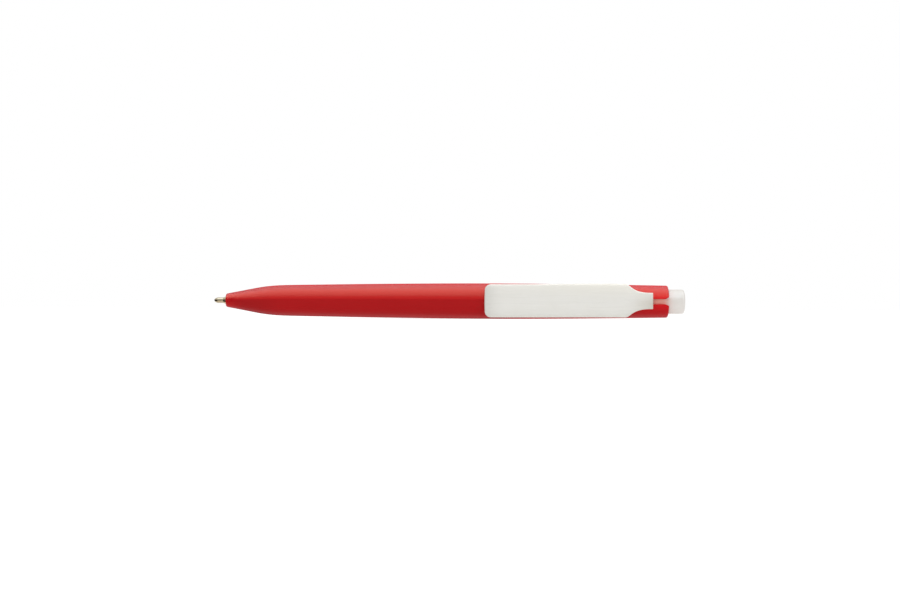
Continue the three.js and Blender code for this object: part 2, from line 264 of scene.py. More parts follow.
# Geometry Nodes trees
def turningTree():
    # turns an outline, a row of points (place, radius), round the pen's axis
    tree, given = newTree("turning", [("Sides", "Int"), ("Material", "Material")])
    sides, outline = given["Sides"], given["Geometry"]
    rings = addNode(tree, "GeometryNodeAttributeDomainSize", {"Geometry": outline})
    columns = calc(tree, "ADD", sides, 1)
    grid = made(tree, "GeometryNodeMeshGrid", {
        "Vertices X": rings.outputs["Point Count"], "Vertices Y": columns})
    index = made(tree, "GeometryNodeInputIndex")
    ring = calc(tree, "FLOOR", calc(tree, "DIVIDE", calc(tree, "ADD", index, 0.5), columns))
    side = calc(tree, "SUBTRACT", index, calc(tree, "MULTIPLY", ring, columns))
    angle = calc(tree, "MULTIPLY", calc(tree, "DIVIDE", side, sides), math.tau)
    place = made(tree, "GeometryNodeInputPosition")
    sample = addNode(tree, "GeometryNodeSampleIndex", {
        "Geometry": outline, "Value": place, "Index": ring,
    }, data_type="FLOAT_VECTOR", domain="POINT")
    parts = addNode(tree, "ShaderNodeSeparateXYZ", {0: sample.outputs["Value"]}).outputs
    spun = onRing(tree, parts["X"], parts["Y"], angle)
    placed = made(tree, "GeometryNodeSetPosition", {"Geometry": grid, "Position": spun})
    closed = made(tree, "GeometryNodeMergeByDistance", {"Geometry": placed, "Distance": mergeGap})
    closeTree(tree, closed, given["Material"])
    return tree


def ringTree(operation):
    # joins or cuts a body with a tool that is repeated round the pen's axis
    tree, given = newTree("ring" + operation.title(), [
        ("Tool", "Object"), ("Count", "Int"), ("Phase", "Float"), ("Material", "Material")])
    count = given["Count"]
    points = made(tree, "GeometryNodeMeshLine", {"Count": count, "Offset": (0, 0, 0)})
    tool = addNode(tree, "GeometryNodeObjectInfo", {"Object": given["Tool"]})
    index = made(tree, "GeometryNodeInputIndex")
    turn = calc(tree, "DIVIDE", calc(tree, "ADD", index, given["Phase"]), count)
    rotation = made(tree, "ShaderNodeCombineXYZ", {"X": calc(tree, "MULTIPLY", turn, math.tau)})
    ring = made(tree, "GeometryNodeInstanceOnPoints", {
        "Points": points, "Instance": tool.outputs["Geometry"], "Rotation": rotation})
    joint = addNode(tree, "GeometryNodeMeshBoolean", {"Mesh 2": ring}, operation=operation,
                    solver="EXACT")
    bodyInput = "Mesh 1" if operation == "DIFFERENCE" else "Mesh 2"
    tree.links.new(given["Geometry"], joint.inputs[bodyInput])
    closeTree(tree, joint.outputs["Mesh"], given["Material"])
    return tree


def coilTree():
    # a compression spring along the pen, with nearly closed end turns
    tree, given = newTree("coil", [
        ("Start", "Float"), ("Length", "Float"), ("Turns", "Int"), ("Coil Radius", "Float"),
        ("Wire", "Float"), ("Closed Pitch", "Float"), ("Steps Per Turn", "Int"),
        ("Wire Sides", "Int"), ("Material", "Material")])
    turns, wire, closedPitch, steps = (
        given[n] for n in ("Turns", "Wire", "Closed Pitch", "Steps Per Turn"))
    count = calc(tree, "ADD", calc(tree, "MULTIPLY", turns, steps), 1)
    line = made(tree, "GeometryNodeMeshLine", {"Count": count})
    turn = calc(tree, "DIVIDE", made(tree, "GeometryNodeInputIndex"), steps)
    openTurns = calc(tree, "SUBTRACT", turns, 2)
    spare = calc(tree, "SUBTRACT", calc(tree, "SUBTRACT", given["Length"], wire),
                 calc(tree, "MULTIPLY", closedPitch, 2))
    openPitch = calc(tree, "DIVIDE", spare, openTurns)
    opened = calc(tree, "MAXIMUM", calc(tree, "SUBTRACT", turn, 1), 0)
    middle = calc(tree, "MINIMUM", opened, openTurns)
    ends = calc(tree, "MULTIPLY", calc(tree, "SUBTRACT", turn, middle), closedPitch)
    rise = calc(tree, "ADD", ends, calc(tree, "MULTIPLY", middle, openPitch))
    start = calc(tree, "ADD", given["Start"], calc(tree, "DIVIDE", wire, 2))
    position = onRing(tree, calc(tree, "ADD", start, rise), given["Coil Radius"],
                      calc(tree, "MULTIPLY", turn, math.tau))
    wound = made(tree, "GeometryNodeSetPosition", {"Geometry": line, "Position": position})
    path = made(tree, "GeometryNodeMeshToCurve", {"Mesh": wound})
    section = made(tree, "GeometryNodeCurvePrimitiveCircle", {
        "Resolution": given["Wire Sides"], "Radius": calc(tree, "DIVIDE", wire, 2)})
    drawn = made(tree, "GeometryNodeCurveToMesh", {
        "Curve": path, "Profile Curve": section, "Fill Caps": True})
    closeTree(tree, drawn, given["Material"])
    return tree


trees = {
    "turning": turningTree(),
    "join": ringTree("UNION"),
    "cut": ringTree("DIFFERENCE"),
    "coil": coilTree(),
}
print("trees made")


def outlineObject(name, points):
    mesh = bpy.data.meshes.new(name)
    edges = [(i, i + 1) for i in range(len(points) - 1)]
    mesh.from_pydata([(p[0], p[1], 0) for p in points], edges, [])
    return newObject(name, mesh)


def turned(name, points, sides, finish):
    values = {"Sides": sides, "Material": finishes[finish]}
    return runTree(outlineObject(name, points), trees["turning"], values)


def repeated(body, operation, tool, count, phase, finish):
    # the body with the tool joined to it or cut from it; phase is the first one's turn
    values = {"Tool": tool, "Count": count, "Phase": phase, "Material": finishes[finish]}
    runTree(body, trees[operation], values)
    bpy.data.objects.remove(tool)


def sectorTool(inner, outer, spread, fromAt, toAt, steps=6):
    # a piece of a ring round the axis, its spread in degrees
    bm = bmesh.new()
    corners = ((inner, fromAt), (outer, fromAt), (outer, toAt), (inner, toAt))
    half = math.radians(spread / 2)
    rings = []
    for i in range(steps + 1):
        angle = -half + 2 * half * i / steps
        rings.append([bm.verts.new((at, radius * math.cos(angle), radius * math.sin(angle)))
                      for radius, at in corners])
    bridge(bm, rings)
    return solid("sector", bm)


def notchTool(tipAt, side, radius):
    # a wedge that leaves pointed teeth; side is 1 where the teeth point to the rear
    bm = bmesh.new()
    reach = side * toothSize["height"]
    width = 2 * radius * math.tan(math.pi / toothSize["count"])
    corners = ((0, -reach), (width, reach), (-width, reach))
    bridge(bm, [[bm.verts.new((tipAt + x, y, z)) for z, x in corners] for y in (0, 2 * radius)])
    return solid("notch", bm)


def block(name, low, high, edge, segments=3):
    # a box in drawing coordinates (place, height toward the clip, side) with rounded edges
    bm = bmesh.new()
    bmesh.ops.create_cube(bm, size=1)
    for v in bm.verts:
        share = v.co + Vector((0.5, 0.5, 0.5))
        v.co = Vector((
            low[0] + share.x * (high[0] - low[0]),
            -(low[1] + share.y * (high[1] - low[1])),
            low[2] + share.z * (high[2] - low[2]),
        ))
    bmesh.ops.reverse_faces(bm, faces=bm.faces)
    bm.normal_update()
    bmesh.ops.bevel(bm, geom=bm.edges, offset=edge, segments=segments, profile=0.5,
                    affect="EDGES")
    return solid(name, bm)


# Finishes
def newMaterial(name):
    material = bpy.data.materials.new(name)
    material.use_nodes = True
    tree = material.node_tree
    return material, tree, tree.nodes["Principled BSDF"]


def objectPlace(tree):
    return tree.nodes.new("ShaderNodeTexCoord").outputs["Object"]


def noise(tree, scale, detail=2.0, stretch=None, roughness=0.5):
    coordinates = objectPlace(tree)
    if stretch:
        mapping = {"Vector": coordinates, "Scale": stretch}
        coordinates = made(tree, "ShaderNodeMapping", mapping)
    return made(tree, "ShaderNodeTexNoise", {
        "Vector": coordinates, "Scale": scale, "Detail": detail, "Roughness": roughness})


def ranged(tree, value, low, high, fromLow=0.0, fromHigh=1.0):
    return made(tree, "ShaderNodeMapRange", {
        "Value": value, "From Min": fromLow, "From Max": fromHigh,
        "To Min": low, "To Max": high})


def blended(tree, share, first, second):
    values = {0: share, 6: first, 7: second}
    return addNode(tree, "ShaderNodeMix", values, data_type="RGBA").outputs[2]


def relief(tree, height, distance, below=None):
    values = {"Height": height, "Distance": distance, "Strength": 1.0}
    if below:
        values["Normal"] = below
    return made(tree, "ShaderNodeBump", values)


def paintedLightShare(tree, zone):
    # how far a place lies in a zone of painted light or shade, from ramps of (start, end, bend)
    # along the pen and across it, in millimetres, and from the distance to the slot
    coordinates = objectPlace(tree)
    place = addNode(tree, "ShaderNodeSeparateXYZ", {"Vector": coordinates})
    share = 1.0
    for key, axis in (("along", 0), ("alongBack", 0), ("across", 2)):
        if key in zone:
            start, end, bend = zone[key]
            edges = [toFrame.translation[axis] + at * mm for at in (start, end)]
            ramp = calc(tree, "POWER", ranged(tree, place.outputs[axis], 0, 1, *edges), bend)
            share = calc(tree, "MULTIPLY", share, ramp)
    if "slotRange" in zone:
        offset = toFrame @ Vector((0, -zone["slotHeight"], 0))
        for operation, value in (("SUBTRACT", offset), ("MULTIPLY", (0, 1, 1))):
            coordinates = made(tree, "ShaderNodeVectorMath", {0: coordinates, 1: value},
                               operation=operation)
        length = addNode(tree, "ShaderNodeVectorMath", {0: coordinates}, operation="LENGTH")
        edges = [edge * mm for edge in zone["slotRange"]]
        near = ranged(tree, length.outputs["Value"], 0, 1, *edges)
        share = calc(tree, "MULTIPLY", share, near)
    return share


# between which values of its noise pattern each effect comes in
patternRange = {"cloud": (0.3, 0.7), "scuff": (0.66, 0.72), "tarnish": (0.42, 0.68)}


def roughened(tree, pattern, look):
    # the finish's roughness, varied by a pattern
    low, high = (look["roughness"] + side * look["roughSpread"] for side in (-1, 1))
    return ranged(tree, pattern, low, high, *patternRange["cloud"])


def clouded(tree, cloud, look):
    share = ranged(tree, cloud, 0, 1, *patternRange["cloud"])
    return blended(tree, share, look["colour"], look["cloudColour"])


def mouldedPlastic(name, look):
    # moulded plastic: faint clouding, fine grain, polish lines along the pen and a few scuffs
    material, tree, shader = newMaterial(name)
    cloud = noise(tree, look["cloudScale"], 3)
    grain = noise(tree, look["grainScale"], 3)
    lines = noise(tree, look["lineScale"], 2, look["lineStretch"])
    scuffs = noise(tree, look["scuffScale"], 4, look["scuffStretch"], 0.7)
    scuffs = ranged(tree, scuffs, 0, 1, *patternRange["scuff"])
    colour = clouded(tree, cloud, look)
    # painted light and shade: each zone blends the colour toward a lighter or darker one
    for zone in look["paintedLight"]:
        colour = blended(tree, paintedLightShare(tree, zone), colour, zone["colour"])
    scuffed = calc(tree, "MULTIPLY", scuffs, look["scuffShare"])
    rough = calc(tree, "MULTIPLY", scuffs, look["scuffRough"])
    bump = relief(tree, lines, look["lineDepth"])
    setInputs(tree, shader, {
        "Base Color": blended(tree, scuffed, colour, look["scuffColour"]),
        "Roughness": calc(tree, "ADD", roughened(tree, lines, look), rough),
        "Normal": relief(tree, grain, look["grainDepth"], bump),
        "IOR": look["ior"],
        "Specular IOR Level": look["specular"],
        "Specular Tint": look["specularTint"],
    })
    if "rimRange" in look:
        # the gloss fades toward the rim, so that a pale background doesn't eat into the outline
        facing = addNode(tree, "ShaderNodeLayerWeight", {"Blend": 0.5}).outputs["Facing"]
        fading = ranged(tree, facing, look["specular"], 0, *look["rimRange"])
        setInputs(tree, shader, {"Specular IOR Level": fading})
    return material


redLook = {
    "colour": (0.408, 0.0034, 0.0080), "cloudColour": (0.424, 0.0038, 0.0088),
    # painted light, standing in for light that the plastic lets through: brighter at the open
    # ends, round the slot, along its two rims and on the lower rim under the clip; painted shade,
    # a little darker, on the lower side of the nose
    "paintedLight": (
        {"alongBack": (92, 82, 1), "across": (3.9, 4.8, 1), "colour": (0.47, 0.0034, 0.0070)},
        {"alongBack": (92, 82, 1), "across": (-3.8, -4.8, 1), "colour": (0.48, 0.0034, 0.0070)},
        {"along": (5.5, 9, 1), "alongBack": (21, 13, 1), "across": (0.7, -0.5, 1),
         "colour": (0.362, 0.0033, 0.0080)},
        {"along": (6.5, 3.5, 1), "colour": (0.47, 0.006, 0.010)},
        {"along": (100, 127, 1), "colour": (0.495, 0.0045, 0.011)},
        {"along": (124, 126, 1), "colour": (0.64, 0.0046, 0.0125),
         "slotHeight": 4.7, "slotRange": (3.0, 1.1)},
        {"along": (84, 92, 1), "across": (-4.3, -5.0, 1), "colour": (0.60, 0.007, 0.013)},
    ),
    "scuffColour": (0.46, 0.02, 0.022), "scuffShare": 0.06, "scuffRough": 0.1,
    "scuffScale": 900, "scuffStretch": (0.16, 1, 1), "cloudScale": 220, "grainScale": 11000,
    "grainDepth": 0.0000012, "lineScale": 1500, "lineStretch": (0.03, 1, 1),
    "lineDepth": 0.0000008, "roughness": 0.18, "roughSpread": 0.02, "ior": 1.5, "specular": 0.4,
    "specularTint": (1.0, 0.28, 0.20), "rimRange": (0.45, 0.75),
}
whiteLook = {
    "colour": (0.84, 0.83, 0.78), "cloudColour": (0.858, 0.85, 0.808),
    # painted shade, a little duller, where the clip bends away at its two ends and along its lower
    # edge, and painted light, a little warmer, along its upper edge, where light from above falls
    "paintedLight": (
        {"across": (-1.5, -4.8, 2), "colour": (0.77, 0.765, 0.715)},
        {"along": (75, 118, 1), "across": (0, 4.6, 1.5), "colour": (0.90, 0.878, 0.80)},
        {"along": (87.1, 80.9, 2), "colour": (0.69, 0.69, 0.645)},
        {"along": (121.2, 131.3, 2), "across": (2.8, -0.5, 1), "colour": (0.63, 0.59, 0.51)},
    ),
    "scuffColour": (0.74, 0.725, 0.68), "scuffShare": 0.15, "scuffRough": 0.12,
    "scuffScale": 800, "scuffStretch": (0.2, 1, 1), "cloudScale": 180, "grainScale": 9000,
    "grainDepth": 0.0000015, "lineScale": 1200, "lineStretch": (0.05, 1, 1),
    "lineDepth": 0.0000008, "roughness": 0.28, "roughSpread": 0.03, "ior": 1.5, "specular": 0.3,
    "specularTint": (1.0, 1.0, 1.0),
}
buttonLook = {
    **whiteLook,
    "colour": (0.815, 0.787, 0.742), "cloudColour": (0.835, 0.807, 0.762), "paintedLight": (),
    "scuffColour": (0.72, 0.69, 0.65), "roughness": 0.22, "specular": 0.2,
    "specularTint": (0.72, 0.84, 1.0), "rimRange": (0.6, 0.85),
}
nylonLook = {
    **whiteLook,
    "colour": (0.70, 0.69, 0.62), "cloudColour": (0.74, 0.73, 0.67), "paintedLight": (),
    "scuffColour": (0.62, 0.60, 0.52), "roughness": 0.45,
}


def metalFinish(name, look):
    # turned or drawn metal: fine rings or draw lines across it, a little tarnish and grime
    material, tree, shader = newMaterial(name)
    rings = noise(tree, look["ringScale"], 2, look["ringStretch"])
    tarnish = noise(tree, look["tarnishScale"], 4)
    share = ranged(tree, tarnish, 0, 1, *patternRange["tarnish"])
    setInputs(tree, shader, {
        "Base Color": blended(tree, share, look["colour"], look["tarnishColour"]),
        "Roughness": roughened(tree, rings, look),
        "Normal": relief(tree, rings, look["ringDepth"]),
        "Metallic": 1,
    })
    return material


nickelSilverLook = {
    "colour": (0.484, 0.397, 0.26), "tarnishColour": (0.415, 0.33, 0.205), "tarnishScale": 1500,
    "ringScale": 9000, "ringStretch": (1, 0.02, 0.02), "ringDepth": 0.0000006, "roughness": 0.1,
    "roughSpread": 0.03,
}
springSteelLook = {
    "colour": (0.52, 0.53, 0.55), "tarnishColour": (0.36, 0.36, 0.37), "tarnishScale": 900,
    "ringScale": 7000, "ringStretch": (1, 0.2, 0.2), "ringDepth": 0.000001, "roughness": 0.25,
    "roughSpread": 0.06,
}
carbideLook = {
    "colour": (0.045, 0.040, 0.040), "tarnishColour": (0.050, 0.012, 0.014),
    "tarnishScale": 2600, "ringScale": 20000, "ringStretch": (1, 1, 1), "ringDepth": 0.0000003,
    "roughness": 0.14, "roughSpread": 0.04,
}


def softFill(name, look):
    # what fills or sheathes the refill: cloudy, partly see-through, with small bubbles
    material, tree, shader = newMaterial(name)
    cloud = noise(tree, look["cloudScale"], 4)
    bubbles = addNode(tree, "ShaderNodeTexVoronoi", {
        "Vector": objectPlace(tree), "Scale": look["bubbleScale"]}).outputs["Distance"]
    bubbles = ranged(tree, bubbles, 0, 1, 0, look["bubbleSize"])
    setInputs(tree, shader, {
        "Base Color": clouded(tree, cloud, look),
        "Roughness": roughened(tree, cloud, look),
        "Normal": relief(tree, bubbles, look["bubbleDepth"]),
        "Transmission Weight": look["clear"],
        "IOR": look["ior"],
    })
    return material


clearLook = {
    "colour": (0.86, 0.88, 0.87), "cloudColour": (0.80, 0.83, 0.82), "cloudScale": 300,
    "bubbleScale": 1400, "bubbleDepth": 0.0000006, "bubbleSize": 0.4,
    "roughness": 0.16, "roughSpread": 0.05, "clear": 0.75, "ior": 1.49,
}
inkLook = {
    **clearLook,
    "colour": (0.30, 0.006, 0.010), "cloudColour": (0.22, 0.004, 0.007), "cloudScale": 260,
    "bubbleScale": 900, "bubbleDepth": 0.000001, "roughness": 0.18, "clear": 0.0,
}
greaseLook = {
    **clearLook,
    "colour": (0.72, 0.56, 0.24), "cloudColour": (0.80, 0.68, 0.38), "cloudScale": 700,
    "bubbleScale": 1800, "bubbleDepth": 0.000002, "roughness": 0.25, "clear": 0.35,
}

finishes = {
    "red": mouldedPlastic("redPlastic", redLook),
    "white": mouldedPlastic("whitePlastic", whiteLook),
    "button": mouldedPlastic("buttonPlastic", buttonLook),
    "nylon": mouldedPlastic("naturalNylon", nylonLook),
    "nickelSilver": metalFinish("nickelSilver", nickelSilverLook),
    "springSteel": metalFinish("springSteel", springSteelLook),
    "carbide": metalFinish("carbide", carbideLook),
    "clear": softFill("clearPlastic", clearLook),
    "ink": softFill("redInk", inkLook),
    "grease": softFill("followerGrease", greaseLook),
}
print("finishes made")


# Barrel
barrelSize = {
    "noseAt": 3.55, "noseHole": 1.35, "noseRadius": 1.95, "noseEdge": 0.477, "coneLength": 8.9,
    "coneSlope": math.tan(math.radians(10.95)),
    "gripAt": 22.8, "gripRadius": 4.62, "gripSlope": 0.018, "bellyAt": 82.0,
    "bellyRadius": 5.29, "backAt": 135.85, "backRadius": 4.81, "backSlope": -0.0133,
    "backEdge": 0.55, "fullness": (0.35, 0.3, 0.35), "rearBore": 3.75, "sleeveSeatAt": 103.35,
    "mainBore": 3.3, "chamberEndAt": 36.05, "springBore": 2.4, "springSeatAt": 12.0,
    "guideBore": 1.75, "guideAt": 5.5, "innerEdge": 0.18, "chamberTaper": 0.9,
    "guideTaper": 0.4,
    "holeEdge": (0.035, 3),  # radius and steps
    "edgeSteps": 8, "coneSteps": 10, "sides": 192,
}
slotSize = {
    "frontAt": 124.0, "halfWidth": 0.77, "mouthHalfWidth": 1.36, "mouthLength": 1.1,
    "depthHeight": 2.0, "flare": 0.16, "flareSteps": 6,
    "rings": (24, 8, 7),  # along its sides, its mouth and the mouth's flare
    "pastBack": 1.0,  # how far its cutter stands out of the barrel
    "pastSkin": 1.5,
}


def barrelLine():
    s = SimpleNamespace(**barrelSize)
    start = (s.noseAt, s.noseRadius - s.noseEdge)
    coneStart = (s.noseAt + s.noseEdge, s.noseRadius + s.noseEdge * s.coneSlope)
    cone = (s.noseAt + s.coneLength, s.noseRadius + s.coneLength * s.coneSlope)
    grip = (s.gripAt, s.gripRadius)
    belly = (s.bellyAt, s.bellyRadius)
    back = (s.backAt - s.backEdge, s.backRadius)
    end = (s.backAt, s.backRadius - s.backEdge)
    shares = [i / s.coneSteps for i in range(1, s.coneSteps + 1)]
    line = [start] + quadratic(start, (s.noseAt, s.noseRadius), coneStart, s.edgeSteps)
    line += [tuple(Vector(coneStart).lerp(Vector(cone), share)) for share in shares]
    line += flow(cone, s.coneSlope, grip, s.gripSlope, s.fullness[0])
    line += flow(grip, s.gripSlope, belly, 0, s.fullness[1])
    line += flow(belly, 0, back, s.backSlope, s.fullness[2])
    return line + quadratic(back, (s.backAt, s.backRadius), end, s.edgeSteps)


outerLine = barrelLine()


def slotHalfWidthAt(at):
    s = SimpleNamespace(**slotSize)
    mouthAt = barrelSize["backAt"] - s.mouthLength
    share = min(max((at - mouthAt) / s.mouthLength, 0), 1)
    width = s.halfWidth + share * (s.mouthHalfWidth - s.halfWidth)
    turn = min(max((at - barrelSize["backAt"] + s.flare) / s.flare, 0), 1)
    return width + s.flare * (1 - math.sqrt(1 - turn * turn))


def slotTool():
    # the slot's cutter; its sides flare at the barrel's skin, which rounds the slot's edges
    s = SimpleNamespace(**slotSize)
    backAt = barrelSize["backAt"]
    edges = (s.frontAt, backAt - s.mouthLength, backAt - s.flare, backAt)
    places = [s.frontAt]
    for start, end, rings in zip(edges, edges[1:], s.rings):
        places += [*np.linspace(start, end, rings)[1:]]
    bm = bmesh.new()
    rings = []
    for at in places + [backAt + s.pastBack]:
        half = slotHalfWidthAt(at)
        radius = lineAt(outerLine, min(at, backAt - barrelSize["backEdge"]))
        skin = math.sqrt(max(radius ** 2 - half ** 2, 0))
        side = [(half, s.depthHeight)]
        for i in range(s.flareSteps + 1):
            angle = math.radians(90 * i / s.flareSteps)
            side.append((half + s.flare * (1 - math.cos(angle)),
                         skin - s.flare * (1 - math.sin(angle))))
        side.append((half + s.flare, skin + s.pastSkin))
        ring = side + [(-w, h) for w, h in reversed(side)]
        rings.append([bm.verts.new((at, -h, w)) for w, h in ring])
    bridge(bm, rings)
    return solid("slotTool", bm)


def makeBarrel():
    s = SimpleNamespace(**barrelSize)
    inside = rounded([
        outerLine[-1], (s.backAt, s.rearBore, s.innerEdge),
        (s.sleeveSeatAt, s.rearBore), (s.sleeveSeatAt, s.mainBore), (s.chamberEndAt, s.mainBore),
        (s.chamberEndAt - s.chamberTaper, s.springBore), (s.springSeatAt, s.springBore),
        (s.springSeatAt, s.guideBore), (s.guideAt, s.guideBore),
        (s.guideAt - s.guideTaper, s.noseHole), (s.noseAt, s.noseHole, *s.holeEdge), outerLine[0],
    ])
    shell = turned("barrelShell", outerLine[:-1] + inside, s.sides, "red")
    combine(shell, slotTool(), "DIFFERENCE")
    return finishPiece(shell, "red", "barrel", "barrel")


barrel = makeBarrel()
print("barrel made")


# Clip
clipSize = {
    "frontAt": 80.9, "backAt": 130.84, "halfWidth": 4.91,
    # it sits a little askew and is a hair wider near its shoulder: (place, shift, width)
    "askew": ((80.9, 0.08, 1), (96, 0.13, 1.002), (106, 0.255, 1.018), (120, 0.295, 1.019),
              (126, 0.2, 1.006), (129, 0.19, 1.01)),
    "thickness": 1.3, "faceHeight": 7.35, "crown": 0.38, "crownBend": 4, "corner": 1.8,
    "endBow": 0.06, "padHeight": 5.55, "padThickness": 0.85, "padLength": 2.4, "tipBend": 7.0,
    "rearBendAt": 113.0, "shoulderAt": 122.4, "shoulderSpan": 7.6, "shoulderHandle": 1.9,
    "neckHalfWidth": 2.39, "neckAt": 125.25, "neckThickness": 0.8, "neckGap": 0.3,
    "neckCorner": 0.2, "outerEdge": 0.32, "innerEdge": 0.2,
    # how finely each part is drawn
    "edgeSteps": 5, "bendSteps": 24, "padSteps": 16, "bowSteps": 24, "cornerSteps": 12,
    "shoulderSteps": 28, "neckCornerSteps": 6, "cuts": (22, 22, 44), "crossCuts": 5,
    "cutInset": 0.3, "cutTolerance": 1e-5,
}
webSize = {"frontAt": 124.4, "backAt": 129.3, "halfWidth": 0.65, "footHeight": 3.04,
           "footThickness": 0.8, "footHalfWidth": 1.5, "edge": 0.12}
neckHeight = lineAt(outerLine, webSize["frontAt"]) + clipSize["neckGap"]


def clipLines():
    # the arm's outer and inner line seen from the side, as (place, height)
    s = SimpleNamespace(**clipSize)
    face, inner, front = s.faceHeight, s.faceHeight - s.thickness, s.frontAt
    bend, pad = front + s.tipBend, front + s.padLength
    middle = (s.rearBendAt + s.neckAt) / 2
    end = (s.backAt, neckHeight + s.neckThickness)
    outer = [(front, s.padHeight + s.padThickness)]
    outer += quadratic(outer[0], (front + s.tipBend / 3, face), (bend, face), s.bendSteps)
    outer += [(s.rearBendAt, face)]
    outer += quadratic(outer[-1], ((s.backAt + s.rearBendAt) / 2, face), end, s.bendSteps)
    under = [(front, s.padHeight), (pad, s.padHeight)]
    under += quadratic(under[-1], ((pad + bend) / 2, inner), (bend, inner), s.padSteps)
    under += [(s.rearBendAt, inner)]
    under += bezier(under[-1], (middle, inner), (middle, neckHeight), (s.neckAt, neckHeight),
                    s.bendSteps)
    return outer, under + [(s.backAt, neckHeight)]


def clipOutline():
    # the arm seen from outside, from the middle of its free end round to the same point
    s = SimpleNamespace(**clipSize)
    half, neck, corner, small = s.halfWidth, s.neckHalfWidth, s.corner, s.neckCorner
    front, start = s.frontAt + s.endBow, (s.shoulderAt, s.halfWidth)
    handle, end = s.shoulderAt + s.shoulderHandle, (s.shoulderAt + s.shoulderSpan, neck)
    bow = quadratic((front, corner - half), (s.frontAt - s.endBow, 0), (front, half - corner),
                    s.bowSteps)
    middle = s.bowSteps // 2
    side = bow[middle:]
    side += quarter((front + corner, half - corner), corner, math.pi, s.cornerSteps)[1:]
    side += [start] + bezier(start, (handle, half), (handle, neck), end, s.shoulderSteps)
    side += quarter((s.backAt - small, neck - small), small, math.pi / 2, s.neckCornerSteps)
    return [(bow[middle - 1][0], 0.0)] + side + [(x, -z) for x, z in reversed(side)]


def insetLine(line, distance):
    # the closed line moved inward along its own normals
    points = np.array(line)
    before, after = np.roll(points, 1, 0), np.roll(points, -1, 0)
    a = points - before
    b = after - points
    a /= np.linalg.norm(a, axis=1)[:, None]
    b /= np.linalg.norm(b, axis=1)[:, None]
    normal = np.stack([(a + b)[:, 1], -(a + b)[:, 0]], 1)
    normal /= np.linalg.norm(normal, axis=1)[:, None]
    facing = np.stack([a[:, 1], -a[:, 0]], 1)
    stretch = 1 / np.maximum((normal * facing).sum(1), 0.5)
    return points + normal * (distance * stretch)[:, None]


def makeClip():
    s = SimpleNamespace(**clipSize)
    turns = [math.pi / 2 * i / s.edgeSteps for i in range(s.edgeSteps + 1)]
    curve = [(1 - math.cos(turn), 1 - math.sin(turn)) for turn in turns]
    # rings of (inset, depth below the outer face)
    rings = [(s.outerEdge * inset, s.outerEdge * depth) for inset, depth in reversed(curve)]
    rings += [(s.innerEdge * inset, s.thickness - s.innerEdge * depth) for inset, depth in curve]
    outline = clipOutline()
    bm = bmesh.new()
    bridge(bm, [[bm.verts.new((x, depth, z)) for x, z in insetLine(outline, inset)]
                for inset, depth in rings], capTurn=-1)
    edges = (s.frontAt + s.cutInset, s.frontAt + s.tipBend, s.rearBendAt, s.backAt - s.cutInset)
    places = [edges[0]]
    for start, end, cuts in zip(edges, edges[1:], s.cuts):
        places += [*np.linspace(start, end, cuts)[1:]]
    planes = [((at, 0, 0), (1, 0, 0)) for at in places]
    planes += [((0, 0, i / s.crossCuts * s.halfWidth), (0, 0, 1))
               for i in range(1 - s.crossCuts, s.crossCuts)]
    for point, normal in planes:
        bmesh.ops.bisect_plane(bm, geom=bm.verts[:] + bm.edges[:] + bm.faces[:],
                               dist=s.cutTolerance, plane_co=point, plane_no=normal)
    outer, under = clipLines()
    for v in bm.verts:
        at, depth, side = v.co
        top, low = lineAt(outer, at), lineAt(under, at)
        shift, width = (lineAt(s.askew, at, k) for k in (1, 2))
        share = depth / s.thickness
        crown = s.crown * abs(side / s.halfWidth) ** s.crownBend * (1 - share)
        v.co = (at, -(top - crown - share * (top - low)), side * width + shift)
    arm = solid("clipArm", bm)
    w = SimpleNamespace(**webSize)
    webHeight = neckHeight + s.neckThickness / 2
    web = block("web", (w.frontAt, w.footHeight - w.footThickness / 2, -w.halfWidth),
                (w.backAt, webHeight, w.halfWidth), w.edge)
    foot = block("foot", (w.frontAt, w.footHeight - w.footThickness, -w.footHalfWidth),
                 (w.backAt, w.footHeight, w.footHalfWidth), w.edge)
    combine(arm, web, "UNION")
    combine(arm, foot, "UNION")
    return finishPiece(arm, "white", "clip", "clip")


clip = makeClip()
print("clip made")


# Push button
buttonSize = {
    "frontAt": 117.1, "endAt": 141.0, "radius": 3.65, "bore": 2.7, "endWall": 1.2,
    "endEdge": (0.8, 8),  # radius and steps
    "endDome": 0.2, "domeSteps": 12, "boreEdge": 0.3, "skirtEdge": 0.25, "stemRadius": 2.2,
    "stemBore": 1.3, "crownAt": 109.5, "landLength": 0.75, "windowFrontAt": 118.6,
    "windowBackAt": 130.85, "windowHalfWidth": 1.9, "windowEdge": 0.15, "sides": 128,
}
toothSize = {"count": 8, "height": 0.9}


def makeButton():
    s = SimpleNamespace(**buttonSize)
    wallAt, landAt, domeAt = s.endAt - s.endWall, s.frontAt + s.landLength, s.endAt - s.endDome
    line = rounded([
        (wallAt, 0.0), (wallAt, s.bore, s.boreEdge), (landAt, s.bore), (landAt, s.stemBore),
        (s.crownAt, s.stemBore), (s.crownAt, s.stemRadius), (s.frontAt, s.stemRadius),
        (s.frontAt, s.radius, s.skirtEdge), (domeAt, s.radius, *s.endEdge), (domeAt, 0),
    ])[:-1]
    flatRadius = line[-1][1]
    for i in range(1, s.domeSteps + 1):
        share = 1 - i / s.domeSteps
        line.append((s.endAt - s.endDome * share ** 2, flatRadius * share))
    body = turned("pushButtonBody", line, s.sides, "button")
    window = block("window", (s.windowFrontAt, 0, -s.windowHalfWidth),
                   (s.windowBackAt, 2 * s.radius, s.windowHalfWidth), s.windowEdge)
    combine(body, window, "DIFFERENCE")
    notch = notchTool(s.crownAt, -1, s.stemRadius)
    repeated(body, "cut", notch, toothSize["count"], 0.5, "button")
    return finishPiece(body, "button", "button", "push_button")


button = makeButton()
print("push button made")


